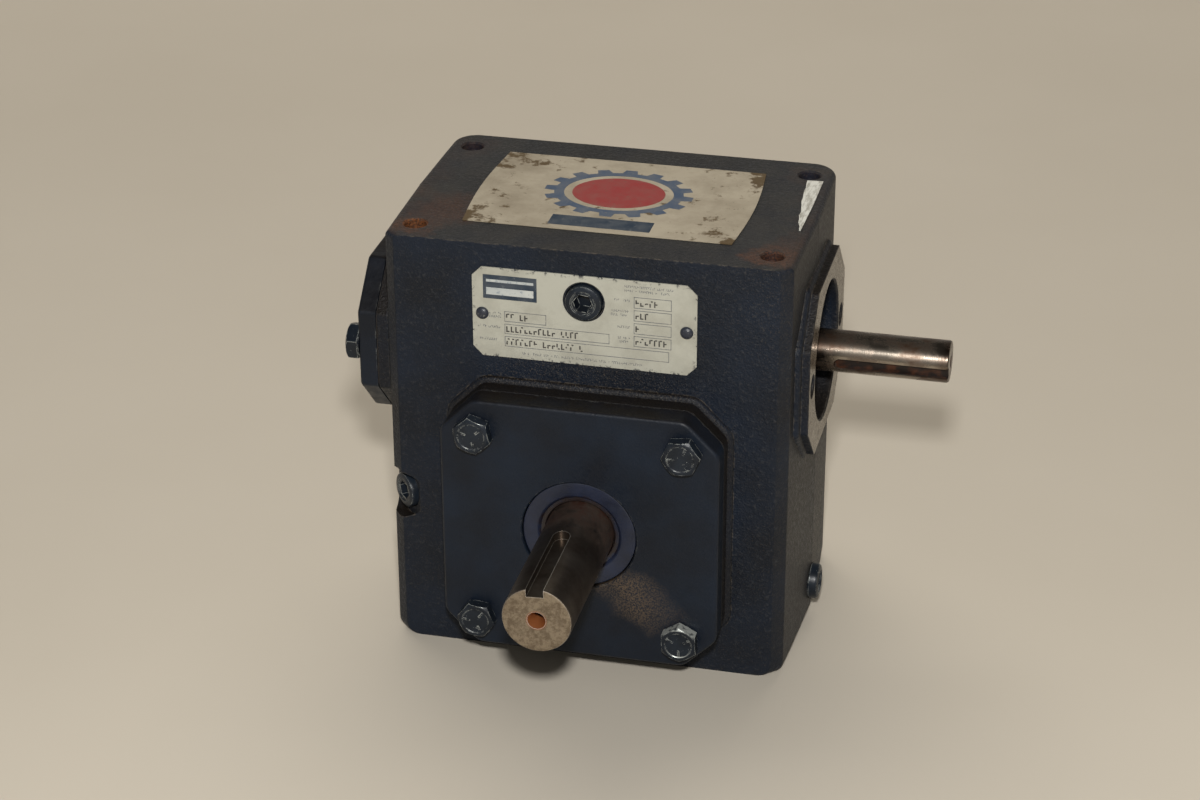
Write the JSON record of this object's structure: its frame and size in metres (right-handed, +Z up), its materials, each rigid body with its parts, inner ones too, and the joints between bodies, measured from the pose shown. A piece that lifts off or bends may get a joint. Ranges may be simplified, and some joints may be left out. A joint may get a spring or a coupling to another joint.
{
  "type": "right-angle worm gear reducer",
  "caption": "Box-shaped cast gear reducer with a keyed output shaft in front, a smaller keyed input shaft on the right and the worm set inside.",
  "frame": {"origin": "middle of the housing's foot face", "axes": "+X towards the input shaft, -Y towards the output shaft, +Z up"},
  "size_m": [0.2223, 0.2033, 0.1679],
  "materials": {
    "housing_paint": "satin, over a rough casting",
    "painted_bolt": "worn satin",
    "output_shaft_steel": "ground, tarnished",
    "input_shaft_steel": "ground, stained",
    "bearing_steel": "polished",
    "wheel_bronze": "machined bronze",
    "cast_iron_hub": "machined",
    "seal_rubber": "painted over",
    "gasket_sheet": "matt fibre sheet",
    "nameplate_foil": "satin, printed",
    "drive_screw_steel": "bright",
    "label_film": "worn, dusty",
    "torn_label_film": "torn paper film"
  },
  "bodies": {
    "gear_case": {"housing": "housing_paint", "front_cover": "housing_paint", "rear_cover": "housing_paint", "front_cover_gasket": "gasket_sheet", "rear_cover_gasket": "gasket_sheet", "front_cover_bolt_1": "painted_bolt", "front_cover_bolt_2": "painted_bolt", "front_cover_bolt_3": "painted_bolt", "front_cover_bolt_4": "painted_bolt", "rear_cover_bolt_1": "painted_bolt", "rear_cover_bolt_2": "painted_bolt", "rear_cover_bolt_3": "painted_bolt", "rear_cover_bolt_4": "painted_bolt", "input_end_cap": "housing_paint", "end_cap_gasket": "gasket_sheet", "end_cap_bolt_1": "painted_bolt", "end_cap_bolt_2": "painted_bolt", "fill_plug": "painted_bolt", "drain_plug": "painted_bolt", "level_plug": "painted_bolt", "nameplate": "nameplate_foil", "drive_screw_left": "drive_screw_steel", "drive_screw_right": "drive_screw_steel", "top_label": "label_film", "torn_label": "torn_label_film", "output_oil_seal": "seal_rubber", "input_oil_seal": "seal_rubber", "input_bearing_left_outer_ring": "bearing_steel", "input_bearing_right_outer_ring": "bearing_steel", "output_bearing_front_cup": "bearing_steel", "output_bearing_rear_cup": "bearing_steel", "bearing_retaining_ring": "bearing_steel"},
    "output_train": {"output_shaft": "output_shaft_steel", "worm_wheel_hub": "cast_iron_hub", "worm_wheel_rim": "wheel_bronze", "worm_wheel_key": "output_shaft_steel", "output_bearing_front_cone": "bearing_steel", "output_bearing_rear_cone": "bearing_steel"},
    "input_train": {"worm_shaft": "input_shaft_steel", "input_bearing_left_inner_ring": "bearing_steel", "input_bearing_right_inner_ring": "bearing_steel"},
    "front_rollers": {"output_bearing_front_rollers_and_cage": "bearing_steel"},
    "rear_rollers": {"output_bearing_rear_rollers_and_cage": "bearing_steel"},
    "left_balls": {"input_bearing_left_balls_and_cage": "bearing_steel"},
    "right_balls": {"input_bearing_right_balls_and_cage": "bearing_steel"}
  },
  "joints": [
    {"name": "output_shaft_spin", "type": "hinge", "parent": "gear_case", "child": "output_train", "pos_m": [0.0017, 0, 0.0619], "axis": [0, -1, 0], "continuous": true},
    {"name": "input_shaft_spin", "type": "hinge", "parent": "gear_case", "child": "input_train", "pos_m": [0, 0, 0.11427], "axis": [1, 0, 0], "continuous": true},
    {"name": "front_rollers_spin", "type": "hinge", "parent": "gear_case", "child": "front_rollers", "pos_m": [0.0017, 0, 0.0619], "axis": [0, -1, 0], "continuous": true},
    {"name": "rear_rollers_spin", "type": "hinge", "parent": "gear_case", "child": "rear_rollers", "pos_m": [0.0017, 0, 0.0619], "axis": [0, -1, 0], "continuous": true},
    {"name": "left_balls_spin", "type": "hinge", "parent": "gear_case", "child": "left_balls", "pos_m": [0, 0, 0.11427], "axis": [1, 0, 0], "continuous": true},
    {"name": "right_balls_spin", "type": "hinge", "parent": "gear_case", "child": "right_balls", "pos_m": [0, 0, 0.11427], "axis": [1, 0, 0], "continuous": true}
  ],
  "couplings": [
    {"joint": "input_shaft_spin", "follows": "output_shaft_spin", "ratio": 5},
    {"joint": "front_rollers_spin", "follows": "output_shaft_spin", "ratio": 0.4345},
    {"joint": "rear_rollers_spin", "follows": "output_shaft_spin", "ratio": 0.4345},
    {"joint": "left_balls_spin", "follows": "output_shaft_spin", "ratio": 1.9167},
    {"joint": "right_balls_spin", "follows": "output_shaft_spin", "ratio": 1.9167}
  ]
}
